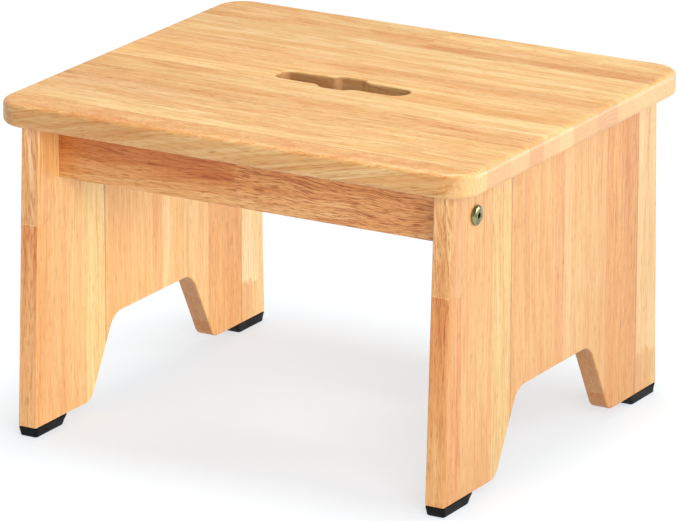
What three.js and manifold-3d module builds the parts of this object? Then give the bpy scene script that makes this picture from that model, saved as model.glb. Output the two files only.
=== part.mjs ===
// A wooden step stool: a seat board with a hand slot stands on two side panels, tied by two rails.
// Millimetres, +X to the stool's right along its length, +Y to its back, +Z up.
// The origin is on the floor, under the middle of the seat.
import * as THREE from "three";
import { mergeVertices } from "three/addons/utils/BufferGeometryUtils.js";
import Module from "manifold-3d";

const wasm = await Module();
wasm.setup();

// ---------------------------------------------------------------- driving dimensions

const seat = { length: 376, depth: 328, thickness: 18, cornerRadius: 22, edgeRadius: 4.5 };
// The slot swells in its middle: a short flat stretch, with an S-shaped shoulder at each end.
const handSlot = { length: 106, width: 21, middleWidth: 33, middleFlat: 10, shoulder: 13, lip: 1.5 };
// How far the seat reaches past the side panels.
const overhang = { ends: 16.5, front: 13 };
// splay is how much further each side panel reaches at the floor than under the seat.
const panel = { height: 220, thickness: 15, splay: 8, edgeRadius: 1.5 };
// The arch leaves a foot at each end of a side panel. lean is how far its side goes in by its top.
const arch = { height: 57, footLength: 74, lean: 31, topRadius: 18, footRadius: 11 };
// setback is from a side panel's upper front corner to the rail's face.
const rail = { height: 43, thickness: 15, setback: 25, edgeRadius: 1.5 };
// taper is how far each side of a rubber foot goes in by the floor.
const rubberFoot = { height: 7, length: 42, taper: 1.8, recessDiameter: 9, recessDepth: 3.2 };
const bolt = { diameter: 6, length: 50, headDiameter: 15, headHeight: 2.6, socket: 4, socketDepth: 3 };
// inset is from the rail's end to the nut's middle. The slot turns the nut to meet its bolt.
const barrelNut = { diameter: 10, length: 11, inset: 30, slotWidth: 1.4, slotDepth: 1.2 };
// bite is the part of a dowel in the thinner board, and edgeMargin is from a rail's edge to its middle.
const dowel = { diameter: 8, length: 30, bite: 10, chamfer: 1, edgeMargin: 9.5, panelInset: 60 };
// bite is the screw's depth in the seat, and inset is from the rail's end.
const seatScrew = { diameter: 4.5, length: 40, headDiameter: 9, headHeight: 3, bite: 12, inset: 60 };
const footScrew = { diameter: 3.5, length: 16, headDiameter: 7.4, headHeight: 2.2 };
const screwPoint = 4; // length of a screw's pointed end

const jointGap = 0.1; // between boards that butt together, and under a screw's or bolt's head
const boreGap = 0.3; // between a round piece and its bore, all round and at the bore's end

const roundSides = 20; // sides of a round bar
const curveSteps = 5; // steps in a curve; an arc has twice as many

// ---------------------------------------------------------------- places that pieces share

const panelBottom = rubberFoot.height + jointGap;
const panelTop = panelBottom + panel.height;
const seatUnderside = panelTop + jointGap;
const panelOuterX = seat.length / 2 - overhang.ends;
const panelInnerX = panelOuterX - panel.thickness;
const panelMiddleX = panelOuterX - panel.thickness / 2;
const panelTopWidth = seat.depth - 2 * overhang.front;
const panelBottomWidth = panelTopWidth + 2 * panel.splay;

const railLength = 2 * (panelInnerX - jointGap);
const railMiddleY = panelTopWidth / 2 - rail.setback - rail.thickness / 2;
const railMiddleZ = panelTop - rail.height / 2;

const railDowelRise = rail.height / 2 - dowel.edgeMargin;
const panelDowelY = panelTopWidth / 2 - dowel.panelInset;
const seatScrewX = railLength / 2 - seatScrew.inset;
const seatScrewHeadTop = seatUnderside + seatScrew.bite - seatScrew.length;
const rubberFootY = (panelBottomWidth - rubberFoot.length) / 2;

const sides = [
  { name: "left", sign: -1 },
  { name: "right", sign: 1 },
];
const ends = [
  { name: "front", sign: -1 },
  { name: "back", sign: 1 },
];
// The front rail is bolted, with one dowel under each bolt. The back rail is glued on two dowels.
const railDowels = {
  front: [{ name: "lower", rise: -railDowelRise }],
  back: [
    { name: "lower", rise: -railDowelRise },
    { name: "upper", rise: railDowelRise },
  ],
};

// ---------------------------------------------------------------- finishes

const finishes = {
  seatWood: { color: 0xf0c68e, roughness: 0.45, metalness: 0 },
  panelWood: { color: 0xf3c388, roughness: 0.45, metalness: 0 },
  railWood: { color: 0xd99f62, roughness: 0.5, metalness: 0 },
  dowelWood: { color: 0xd9b98a, roughness: 0.7, metalness: 0 },
  rubber: { color: 0x16161a, roughness: 0.75, metalness: 0 },
  yellowZinc: { color: 0xa89a66, roughness: 0.3, metalness: 1 },
  screwSteel: { color: 0x9a9a9c, roughness: 0.35, metalness: 1 },
};

// ---------------------------------------------------------------- shapes and booleans

// A closed outline through corners [u, v, radius], each rounded with its own radius; 0 leaves it sharp.
function roundedOutline(corners) {
  const shape = new THREE.Shape();
  corners.forEach(([u, v, radius], i) => {
    const corner = new THREE.Vector2(u, v);
    const [beforeU, beforeV] = corners.at(i - 1);
    const [afterU, afterV] = corners[(i + 1) % corners.length];
    const back = new THREE.Vector2(beforeU, beforeV).sub(corner).normalize();
    const ahead = new THREE.Vector2(afterU, afterV).sub(corner).normalize();
    const halfAngle = back.angleTo(ahead) / 2;
    const reach = radius / Math.tan(halfAngle);
    const start = back.clone().multiplyScalar(reach).add(corner);
    if (i === 0) shape.moveTo(start.x, start.y);
    else shape.lineTo(start.x, start.y);
    if (radius === 0) return;
    const finish = ahead.clone().multiplyScalar(reach).add(corner);
    const centre = back.clone().add(ahead).setLength(radius / Math.sin(halfAngle)).add(corner);
    const startAngle = start.sub(centre).angle();
    const finishAngle = finish.sub(centre).angle();
    shape.absarc(centre.x, centre.y, radius, startAngle, finishAngle, back.cross(ahead) > 0);
  });
  return shape;
}

// A board of that outline: its thickness runs along Z, centred, and its edges are rounded in some steps.
function board(outline, thickness, edgeRadius, edgeSteps) {
  return new THREE.ExtrudeGeometry(outline, {
    depth: thickness - 2 * edgeRadius,
    bevelEnabled: edgeRadius > 0,
    bevelThickness: edgeRadius,
    bevelSize: edgeRadius,
    bevelOffset: -edgeRadius,
    bevelSegments: edgeSteps,
    curveSegments: curveSteps,
  }).translate(0, 0, edgeRadius - thickness / 2);
}

// Turns a board so that its outline lies in Y and Z, and its thickness along X.
function standUp(geometry) {
  const turn = new THREE.Matrix4().makeBasis(
    new THREE.Vector3(0, 1, 0),
    new THREE.Vector3(0, 0, 1),
    new THREE.Vector3(1, 0, 0),
  );
  return geometry.applyMatrix4(turn);
}

// A round bar between two places along one axis, about the point that the other two values give.
function barAlongX(diameter, x0, x1, y, z) {
  const bar = new THREE.CylinderGeometry(diameter / 2, diameter / 2, x1 - x0, roundSides);
  return bar.rotateZ(-Math.PI / 2).translate((x0 + x1) / 2, y, z);
}

function barAlongY(diameter, x, y0, y1, z) {
  const bar = new THREE.CylinderGeometry(diameter / 2, diameter / 2, y1 - y0, roundSides);
  return bar.translate(x, (y0 + y1) / 2, z);
}

function barAlongZ(diameter, x, y, z0, z1) {
  const bar = new THREE.CylinderGeometry(diameter / 2, diameter / 2, z1 - z0, roundSides);
  return bar.rotateX(Math.PI / 2).translate(x, y, (z0 + z1) / 2);
}

// A turned piece about Z: the profile is [radius, z] from the axis at its lower end to the axis at its top.
function turned(profile) {
  const points = profile.map(([radius, z]) => new THREE.Vector2(radius, z));
  return new THREE.LatheGeometry(points, roundSides).rotateX(Math.PI / 2);
}

function toSolid(geometry) {
  const bare = geometry.clone();
  bare.deleteAttribute("normal");
  bare.deleteAttribute("uv");
  const merged = mergeVertices(bare, 1e-4);
  return new wasm.Manifold(
    new wasm.Mesh({
      numProp: 3,
      vertProperties: merged.attributes.position.array,
      triVerts: new Uint32Array(merged.index.array),
    }),
  );
}

function cut(body, cutters) {
  const solid = cutters.reduce((left, cutter) => left.subtract(toSolid(cutter)), toSolid(body));
  const mesh = solid.getMesh();
  const indexed = new THREE.BufferGeometry();
  indexed.setAttribute("position", new THREE.BufferAttribute(mesh.vertProperties, 3));
  indexed.setIndex(new THREE.BufferAttribute(mesh.triVerts, 1));
  const geometry = indexed.toNonIndexed();
  geometry.computeVertexNormals();
  return geometry;
}

function piece(name, geometry, finish, x, y, z) {
  const mesh = new THREE.Mesh(geometry, new THREE.MeshStandardMaterial(finish));
  mesh.name = name;
  mesh.position.set(x, y, z);
  return mesh;
}

// ---------------------------------------------------------------- seat

// The hand slot: round ends, straight sides, and a swollen middle for the fingers.
function handSlotOutline() {
  const half = handSlot.width / 2;
  const swollen = handSlot.middleWidth / 2;
  const endCentre = handSlot.length / 2 - half;
  const flat = handSlot.middleFlat / 2;
  const start = flat + handSlot.shoulder;
  const bend = (flat + start) / 2;
  const outline = new THREE.Shape();
  outline.absarc(endCentre, 0, half, -Math.PI / 2, Math.PI / 2);
  outline.lineTo(start, half);
  outline.bezierCurveTo(bend, half, bend, swollen, flat, swollen);
  outline.lineTo(-flat, swollen);
  outline.bezierCurveTo(-bend, swollen, -bend, half, -start, half);
  outline.absarc(-endCentre, 0, half, Math.PI / 2, 1.5 * Math.PI);
  outline.lineTo(-start, -half);
  outline.bezierCurveTo(-bend, -half, -bend, -swollen, -flat, -swollen);
  outline.lineTo(flat, -swollen);
  outline.bezierCurveTo(bend, -swollen, bend, -half, start, -half);
  return outline;
}

// The cutter's flare that chamfers the slot's lip: widest from z = 0 up to z = lip.
function lipFlare() {
  return new THREE.ExtrudeGeometry(handSlotOutline(), {
    depth: handSlot.lip,
    bevelThickness: handSlot.lip,
    bevelSize: handSlot.lip,
    bevelSegments: 1,
    curveSegments: curveSteps,
  });
}

function seatTop() {
  const halfLength = seat.length / 2;
  const halfDepth = seat.depth / 2;
  const outline = roundedOutline([
    [-halfLength, -halfDepth, seat.cornerRadius],
    [halfLength, -halfDepth, seat.cornerRadius],
    [halfLength, halfDepth, seat.cornerRadius],
    [-halfLength, halfDepth, seat.cornerRadius],
  ]);
  const blank = board(outline, seat.thickness, seat.edgeRadius, 4).translate(0, 0, seat.thickness / 2);
  const slotThrough = board(handSlotOutline(), 3 * seat.thickness, 0, 0);
  const cutters = [
    slotThrough,
    lipFlare().translate(0, 0, seat.thickness),
    lipFlare().translate(0, 0, -handSlot.lip),
  ];
  for (const { sign: side } of sides)
    for (const { sign: end } of ends)
      cutters.push(
        barAlongZ(
          dowel.diameter + 2 * boreGap,
          side * panelMiddleX,
          end * panelDowelY,
          -seat.thickness,
          dowel.bite + boreGap,
        ),
        barAlongZ(
          seatScrew.diameter + 2 * boreGap,
          side * seatScrewX,
          end * railMiddleY,
          -seat.thickness,
          seatScrew.bite + boreGap,
        ),
      );
  return piece("seat_top", cut(blank, cutters), finishes.seatWood, 0, 0, seatUnderside);
}

// ---------------------------------------------------------------- side panels

// The side panel's outline in Y and Z, with z = 0 at its feet.
function panelOutline() {
  const bottom = panelBottomWidth / 2;
  const top = panelTopWidth / 2;
  const archFoot = bottom - arch.footLength;
  const archTop = archFoot - arch.lean;
  return roundedOutline([
    [-bottom, 0, 0],
    [-archFoot, 0, arch.footRadius],
    [-archTop, arch.height, arch.topRadius],
    [archTop, arch.height, arch.topRadius],
    [archFoot, 0, arch.footRadius],
    [bottom, 0, 0],
    [top, panel.height, 0],
    [-top, panel.height, 0],
  ]);
}

function sidePanel({ name, sign: side }) {
  const blank = standUp(board(panelOutline(), panel.thickness, panel.edgeRadius, 2));
  const railZ = railMiddleZ - panelBottom;
  const boltHole = barAlongX(
    bolt.diameter + 2 * boreGap,
    -panel.thickness,
    panel.thickness,
    -railMiddleY,
    railZ,
  );
  // The blind holes start inside the stool, past the inner face, and end inside the board.
  const outside = -side * panel.thickness;
  const inside = side * (dowel.bite + boreGap - panel.thickness / 2);
  const railDowelHoles = ends.flatMap((end) =>
    railDowels[end.name].map(({ rise }) =>
      barAlongX(
        dowel.diameter + 2 * boreGap,
        Math.min(outside, inside),
        Math.max(outside, inside),
        end.sign * railMiddleY,
        railZ + rise,
      ),
    ),
  );
  const seatDowelHoles = ends.map((end) =>
    barAlongZ(
      dowel.diameter + 2 * boreGap,
      0,
      end.sign * panelDowelY,
      panel.height - (dowel.length - dowel.bite) - boreGap,
      panel.height + boreGap,
    ),
  );
  const footScrewHoles = ends.map((end) =>
    barAlongZ(
      footScrew.diameter + 2 * boreGap,
      0,
      end.sign * rubberFootY,
      -boreGap,
      rubberFoot.recessDepth + footScrew.length + boreGap - panelBottom,
    ),
  );
  const geometry = cut(blank, [boltHole, ...railDowelHoles, ...seatDowelHoles, ...footScrewHoles]);
  return piece(`${name}_side_panel`, geometry, finishes.panelWood, side * panelMiddleX, 0, panelBottom);
}

// ---------------------------------------------------------------- rails

function railBoard(end) {
  const halfHeight = rail.height / 2;
  const halfThickness = rail.thickness / 2;
  const section = roundedOutline([
    [-halfThickness, -halfHeight, rail.edgeRadius],
    [halfThickness, -halfHeight, rail.edgeRadius],
    [halfThickness, halfHeight, rail.edgeRadius],
    [-halfThickness, halfHeight, rail.edgeRadius],
  ]);
  const blank = standUp(board(section, railLength, 0, 0));
  const cutters = sides.flatMap((side) => railHoles(side.sign, end));
  return piece(
    `${end.name}_rail`,
    cut(blank, cutters),
    finishes.railWood,
    0,
    end.sign * railMiddleY,
    railMiddleZ,
  );
}

// The holes near one end of a rail, about the rail's own middle.
function railHoles(side, end) {
  const tip = side * (railLength / 2 + boreGap);
  const endHole = (diameter, depth, rise) => {
    const bottom = side * (railLength / 2 - depth);
    return barAlongX(diameter + 2 * boreGap, Math.min(tip, bottom), Math.max(tip, bottom), 0, rise);
  };
  const dowelDepth = dowel.length - dowel.bite - jointGap + boreGap;
  const holes = railDowels[end.name].map(({ rise }) => endHole(dowel.diameter, dowelDepth, rise));

  const counterbore = seatScrewHeadTop + jointGap - railMiddleZ;
  holes.push(
    barAlongZ(seatScrew.diameter + 2 * boreGap, side * seatScrewX, 0, -rail.height, rail.height),
    barAlongZ(seatScrew.headDiameter + 2 * boreGap, side * seatScrewX, 0, -rail.height, counterbore),
  );
  if (end.name === "front") {
    holes.push(endHole(bolt.diameter, bolt.length - panel.thickness + boreGap, 0));
    const nutHoleBottom = -barrelNut.length / 2 - boreGap;
    const nutX = side * (railLength / 2 - barrelNut.inset);
    holes.push(barAlongY(barrelNut.diameter + 2 * boreGap, nutX, nutHoleBottom, rail.thickness, 0));
  }
  return holes;
}

// ---------------------------------------------------------------- connector bolts and barrel nuts

// A bolt with a wide low head and a hex socket. Its head is outside the side panel.
function connectorBolt({ name, sign: side }) {
  const headRadius = bolt.headDiameter / 2;
  const shankRadius = bolt.diameter / 2;
  const body = turned([
    [0, -bolt.length],
    [shankRadius - 0.7, -bolt.length],
    [shankRadius, -bolt.length + 0.7],
    [shankRadius, 0],
    [headRadius - 0.3, 0],
    [headRadius, 0.4],
    [headRadius, 0.9],
    [headRadius - 0.8, 1.7],
    [headRadius - 2.2, 2.3],
    [headRadius - 4, bolt.headHeight],
    [0, bolt.headHeight],
  ]);
  const socketRadius = bolt.socket / Math.sqrt(3);
  const socket = new THREE.CylinderGeometry(socketRadius, socketRadius, 2 * bolt.socketDepth, 6)
    .rotateX(Math.PI / 2)
    .translate(0, 0, bolt.headHeight);
  const underHead = side * (panelOuterX + jointGap);
  const mesh = piece(
    `${name}_connector_bolt`,
    cut(body, [socket]),
    finishes.yellowZinc,
    underHead,
    -railMiddleY,
    railMiddleZ,
  );
  mesh.rotation.y = (side * Math.PI) / 2;
  return mesh;
}

// A short bar across the bolt's end, in a hole bored from the rail's inner face.
function barrelNutPiece({ name, sign: side }) {
  const halfLength = barrelNut.length / 2;
  const bar = barAlongY(barrelNut.diameter, 0, -halfLength, halfLength, 0);
  const thread = barAlongX(bolt.diameter + 2 * boreGap, -barrelNut.diameter, barrelNut.diameter, 0, 0);
  const slot = new THREE.BoxGeometry(
    2 * barrelNut.diameter,
    2 * barrelNut.slotDepth,
    barrelNut.slotWidth,
  ).translate(0, halfLength, 0);
  return piece(
    `${name}_barrel_nut`,
    cut(bar, [thread, slot]),
    finishes.screwSteel,
    side * (railLength / 2 - barrelNut.inset),
    -railMiddleY,
    railMiddleZ,
  );
}

// ---------------------------------------------------------------- dowels

// A dowel along Z about its own middle, with chamfered ends.
function dowelGeometry() {
  const half = dowel.length / 2;
  const radius = dowel.diameter / 2;
  return turned([
    [0, -half],
    [radius - dowel.chamfer, -half],
    [radius, -half + dowel.chamfer],
    [radius, half - dowel.chamfer],
    [radius - dowel.chamfer, half],
    [0, half],
  ]);
}

function railDowel(side, end, { name, rise }) {
  const mesh = piece(
    `${end.name}_rail_${side.name}_${name}_dowel`,
    dowelGeometry(),
    finishes.dowelWood,
    side.sign * (panelInnerX + dowel.bite - dowel.length / 2),
    end.sign * railMiddleY,
    railMiddleZ + rise,
  );
  mesh.rotation.y = Math.PI / 2;
  return mesh;
}

function seatDowel(side, end) {
  return piece(
    `seat_${end.name}_${side.name}_dowel`,
    dowelGeometry(),
    finishes.dowelWood,
    side.sign * panelMiddleX,
    end.sign * panelDowelY,
    seatUnderside + dowel.bite - dowel.length / 2,
  );
}

// ---------------------------------------------------------------- screws

// A pan-head screw that points up. z = 0 is under its head, and its drive recess is a hexagon.
function screwGeometry({ diameter, length, headDiameter, headHeight }) {
  const shankRadius = diameter / 2;
  const headRadius = headDiameter / 2;
  const body = turned([
    [0, -headHeight],
    [0.6 * headRadius, -headHeight],
    [0.9 * headRadius, -0.7 * headHeight],
    [headRadius, -0.3 * headHeight],
    [headRadius, 0],
    [shankRadius, 0],
    [shankRadius, length - screwPoint],
    [0.3, length],
    [0, length],
  ]);
  const driveRadius = 0.45 * headRadius;
  const drive = new THREE.CylinderGeometry(driveRadius, driveRadius, headHeight, 6)
    .rotateX(Math.PI / 2)
    .translate(0, 0, -headHeight);
  return cut(body, [drive]);
}

function seatScrewPiece(side, end) {
  return piece(
    `${end.name}_rail_${side.name}_screw`,
    screwGeometry(seatScrew),
    finishes.screwSteel,
    side.sign * seatScrewX,
    end.sign * railMiddleY,
    seatScrewHeadTop,
  );
}

function footScrewPiece(side, end) {
  return piece(
    `${end.name}_${side.name}_foot_screw`,
    screwGeometry(footScrew),
    finishes.screwSteel,
    side.sign * panelMiddleX,
    end.sign * rubberFootY,
    rubberFoot.recessDepth - jointGap,
  );
}

// ---------------------------------------------------------------- rubber feet

// A block as wide as the side panel that tapers to the floor, with a recess for its screw.
function rubberFootPiece(side, end) {
  const { height, length, taper } = rubberFoot;
  const block = new THREE.BoxGeometry(panel.thickness, length, height).translate(0, 0, height / 2);
  const corners = block.attributes.position;
  for (let i = 0; i < corners.count; i++) {
    if (corners.getZ(i) > 0) continue;
    corners.setX(i, corners.getX(i) - Math.sign(corners.getX(i)) * taper);
    corners.setY(i, corners.getY(i) - Math.sign(corners.getY(i)) * taper);
  }
  const geometry = cut(block, [
    barAlongZ(rubberFoot.recessDiameter, 0, 0, -height, rubberFoot.recessDepth),
    barAlongZ(footScrew.diameter + 2 * boreGap, 0, 0, -height, 2 * height),
  ]);
  return piece(
    `${end.name}_${side.name}_foot`,
    geometry,
    finishes.rubber,
    side.sign * panelMiddleX,
    end.sign * rubberFootY,
    0,
  );
}

// ---------------------------------------------------------------- assembly

function sideAssembly(side) {
  const group = new THREE.Group();
  group.add(sidePanel(side), connectorBolt(side), barrelNutPiece(side));
  for (const end of ends)
    group.add(seatDowel(side, end), rubberFootPiece(side, end), footScrewPiece(side, end));
  return group;
}

function railAssembly(end) {
  const group = new THREE.Group();
  group.add(railBoard(end));
  for (const side of sides) {
    group.add(seatScrewPiece(side, end));
    for (const place of railDowels[end.name]) group.add(railDowel(side, end, place));
  }
  return group;
}

const stool = new THREE.Group();
stool.add(seatTop(), ...sides.map(sideAssembly), ...ends.map(railAssembly));

export default stool;
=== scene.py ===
"""A wooden step stool: two side panels, two rails, a seat with a hand slot, rubber feet and fittings.

Metres, in the CAD frame: +X to the stool's right, +Y to its back, +Z up, the floor at z = 0.
"""

import math

import bpy
import numpy as np
from mathutils import Matrix, Vector


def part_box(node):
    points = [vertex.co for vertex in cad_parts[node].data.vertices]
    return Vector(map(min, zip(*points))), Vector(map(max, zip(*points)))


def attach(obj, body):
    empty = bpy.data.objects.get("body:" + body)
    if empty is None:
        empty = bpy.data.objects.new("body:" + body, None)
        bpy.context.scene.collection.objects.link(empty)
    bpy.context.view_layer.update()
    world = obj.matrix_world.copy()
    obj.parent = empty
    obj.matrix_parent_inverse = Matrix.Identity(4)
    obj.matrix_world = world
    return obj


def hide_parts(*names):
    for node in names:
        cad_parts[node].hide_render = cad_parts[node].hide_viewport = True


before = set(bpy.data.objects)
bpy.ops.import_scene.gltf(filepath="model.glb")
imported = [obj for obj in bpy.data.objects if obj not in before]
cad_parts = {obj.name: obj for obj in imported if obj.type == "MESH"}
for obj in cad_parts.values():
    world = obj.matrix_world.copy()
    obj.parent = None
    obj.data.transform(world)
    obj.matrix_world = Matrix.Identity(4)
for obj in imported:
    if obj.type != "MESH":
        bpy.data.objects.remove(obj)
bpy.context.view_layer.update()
MM = 0.001

# ------------------------------ side panels
# Each is a 15 mm rubberwood board, glued up from staves with the grain upright, with an arch cut
# out of its lower edge, all edges eased, and a clear satin varnish. It is bolted to the front rail
# and glued on dowels to both rails.


def add(tree, kind, inputs=None, **settings):
    """Adds a shader node. inputs maps a socket to a value or to another node's output."""
    made = tree.nodes.new("ShaderNode" + kind)
    for key, value in settings.items():
        setattr(made, key, value)
    for key, value in (inputs or {}).items():
        if isinstance(value, bpy.types.NodeSocket):
            tree.links.new(value, made.inputs[key])
        else:
            made.inputs[key].default_value = value
    return made


def blank(name):
    """A new material, with its node tree and its surface shader."""
    material = bpy.data.materials.new(name)
    material.use_nodes = True
    return material, material.node_tree, material.node_tree.nodes["Principled BSDF"]


def coloured(material):
    """A finished material's node tree, its base colour's socket and what feeds that."""
    base = material.node_tree.nodes["Principled BSDF"].inputs["Base Color"]
    return material.node_tree, base, base.links[0].from_socket


def calc(tree, operation, a, b=0.0, c=0.0):
    """One sum on single values."""
    return add(tree, "Math", {0: a, 1: b, 2: c}, operation=operation).outputs[0]


def times(tree, a, b, c=1.0):
    """Two or three values multiplied."""
    product = calc(tree, "MULTIPLY", a, b)
    return product if c == 1.0 else calc(tree, "MULTIPLY", product, c)


def slide(tree, value, first, last, start=0.0, finish=1.0, **settings):
    """Goes from start to finish as the value goes from first to last, and is level beyond them."""
    spread = {0: value, 1: first, 2: last, 3: start, 4: finish}
    return add(tree, "MapRange", spread, **settings).outputs[0]


def stepped(tree, place, stops, interpolation="CONSTANT"):
    """A colour that changes at each stop (place from 0 to 1, colour)."""
    ramp = add(tree, "ValToRGB", {0: place})
    ramp.color_ramp.interpolation = interpolation
    elements = ramp.color_ramp.elements
    while len(elements) > 1:
        elements.remove(elements[-1])
    for i, (position, colour) in enumerate(stops):
        element = elements[0] if i == 0 else elements.new(position)
        element.position = position
        element.color = (*colour, 1.0)
    return ramp.outputs[0]


def blend(tree, amount, first, second, kind="MIX"):
    """The first colour where the amount is 0 and the second where it is 1."""
    mix = add(tree, "Mix", {0: amount, 6: first, 7: second}, data_type="RGBA", blend_type=kind)
    return mix.outputs[2]


def tint(tree, colour, amount, by):
    """The colour multiplied by another where the amount is 1, and left alone where it is 0."""
    return blend(tree, amount, colour, (*by, 1.0), "MULTIPLY")


def streaks(tree, place, scale, detail, low, high):
    """Noise drawn out along the grain, from 0 below low to 1 above high."""
    vector = add(tree, "VectorMath", {0: place, 1: scale}, operation="MULTIPLY").outputs[0]
    noise = add(tree, "TexNoise", {"Vector": vector, "Scale": 1.0, "Detail": detail, "Roughness": 0.55})
    return slide(tree, noise.outputs[0], low, high, interpolation_type="SMOOTHSTEP")


def linear(tone, gain=1.0):
    """A display tone of 0 to 255 as a linear colour."""
    share = np.array(tone, float) / 255
    light = np.where(share <= 0.04045, share / 12.92, ((share + 0.055) / 1.055) ** 2.4)
    return tuple(light * np.array(gain))


def wood(
    name, axes, staves, end, lean=0.0, gain=0.8,
    figure=1.0, fine=0.7, hairs=0.4, pores=0.5, seed=1,
):
    """Varnished solid wood glued up from staves, worked out in three dimensions so that it runs
    through the board and shows rings on the end grain.

    axes names the directions along the grain, across the staves and through them. A stave is
    (lower edge, tone at its low end, tone at its high end, joint, line, slope across, slope
    through, marks). The lower edge and the finger joint's place are in millimetres, and joint is
    None where the tone drifts along the stave instead. line says how dark the glue line at the
    lower edge is, and marks how many dark marks there are. end is the last stave's far edge, and
    lean is how far the staves' edges slope. gain scales the tones. figure, fine, hairs and pores
    are the strengths of the broad streaks, the thin ones, the long dark hairs and the pores.
    """
    rng = np.random.default_rng(seed)
    material, tree, surface = blank(name)
    parts = add(tree, "SeparateXYZ", {0: add(tree, "TexCoord").outputs["Object"]}).outputs
    along, across, through = (parts["xyz".index(axis)] for axis in axes)

    # Where each stave starts, as a share of the board's width, and what it is like. A ramp holds
    # no value below 0, so distances and slopes are kept in it with 0.5 added.
    edges, low_tones, high_tones, joints, lines, slopes_across, slopes_through, marks = zip(*staves)
    start = edges[0] * MM
    width = end * MM - start
    leaned = calc(tree, "MULTIPLY_ADD", along, lean, across)
    place = calc(tree, "DIVIDE", calc(tree, "SUBTRACT", leaned, start), width)
    at = [(edge * MM - start) / width for edge in edges]
    low_tone = stepped(tree, place, [(p, linear(tone, gain)) for p, tone in zip(at, low_tones)])
    high_tone = stepped(tree, place, [(p, linear(tone, gain)) for p, tone in zip(at, high_tones)])
    joint = [(p, (0.5 + (j or 0) * MM, float(j is None), 0)) for p, j in zip(at, joints)]
    joint = add(tree, "SeparateColor", {0: stepped(tree, place, joint)}).outputs
    drifting = joint[1]
    seeds = stepped(tree, place, [(p, tuple(rng.random(3))) for p in at])
    way = zip(at, slopes_across, slopes_through, marks)
    way = stepped(tree, place, [(p, (0.5 + aside, 0.5 + up, marked)) for p, aside, up, marked in way])
    way = add(tree, "SeparateColor", {0: way}).outputs
    slope_across = calc(tree, "SUBTRACT", way[0], 0.5)
    slope_through = calc(tree, "SUBTRACT", way[1], 0.5)
    marked = way[2]

    # The pith is within 50 mm of the stave's middle, and 20 to 70 mm above or below it.
    middles = [(a + b) / 2 * width + start for a, b in zip(at, at[1:] + [1.0])]
    pith = []
    for p, middle in zip(at, middles):
        pith_across = middle + rng.uniform(-0.05, 0.05)
        pith_through = rng.choice([-1, 1]) * rng.uniform(0.02, 0.07)
        pith.append((p, (0.5 + pith_across, 0.5 + pith_through, 0)))
    pith = add(tree, "SeparateColor", {0: stepped(tree, place, pith)}).outputs

    # The finger joint's teeth, with ragged ends, and which side of the joint a point is on. Where
    # there is no joint the tone drifts from one end's to the other's over about 220 mm.
    tooth, steepness, ragged_reach, blur = 0.6 * MM, 2.2, 4.5 * MM, 2.2 * MM
    teeth = calc(tree, "PINGPONG", across, tooth)
    past = calc(tree, "SUBTRACT", along, calc(tree, "SUBTRACT", joint[0], 0.5))
    past = calc(tree, "SUBTRACT", past, ragged_reach)
    raw = add(tree, "CombineXYZ", {0: along, 1: across, 2: through}).outputs[0]
    ragged = streaks(tree, raw, (60.0, 260.0, 60.0), 2.0, 0.2, 0.8)
    past = calc(tree, "MULTIPLY_ADD", ragged, 2 * ragged_reach, past)
    past_teeth = calc(tree, "MULTIPLY_ADD", teeth, -steepness, past)
    soft = calc(tree, "MULTIPLY_ADD", drifting, 0.11, blur)
    beyond = slide(tree, past_teeth, calc(tree, "MULTIPLY", soft, -1.0), soft)

    # The grain's own frame: it starts somewhere else in each stave and past each finger joint, and
    # it slopes and wanders a little.
    moved = add(tree, "VectorMath", {0: seeds, 1: (3.1, 0.9, 0.7)}, operation="MULTIPLY").outputs[0]
    jointed = calc(tree, "SUBTRACT", 1.0, drifting)
    jump = times(tree, jointed, calc(tree, "GREATER_THAN", beyond, 0.5))
    jump = add(tree, "CombineXYZ", {0: jump, 1: times(tree, jump, 0.31), 2: jump}).outputs[0]
    moved = add(tree, "VectorMath", {0: moved, 1: jump}, operation="ADD").outputs[0]
    raw = add(tree, "VectorMath", {0: raw, 1: moved}, operation="ADD").outputs[0]
    wander = streaks(tree, raw, (5.0, 12.0, 12.0), 1.0, 0.2, 0.8)
    wander = times(tree, calc(tree, "SUBTRACT", wander, 0.5), 7 * MM)
    across_grain = calc(tree, "ADD", calc(tree, "MULTIPLY_ADD", along, slope_across, across), wander)
    through_grain = calc(tree, "MULTIPLY_ADD", along, slope_through, through)
    grain = add(tree, "CombineXYZ", {0: along, 1: across_grain, 2: through_grain}).outputs[0]
    grain = add(tree, "VectorMath", {0: grain, 1: moved}, operation="ADD").outputs[0]

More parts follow.
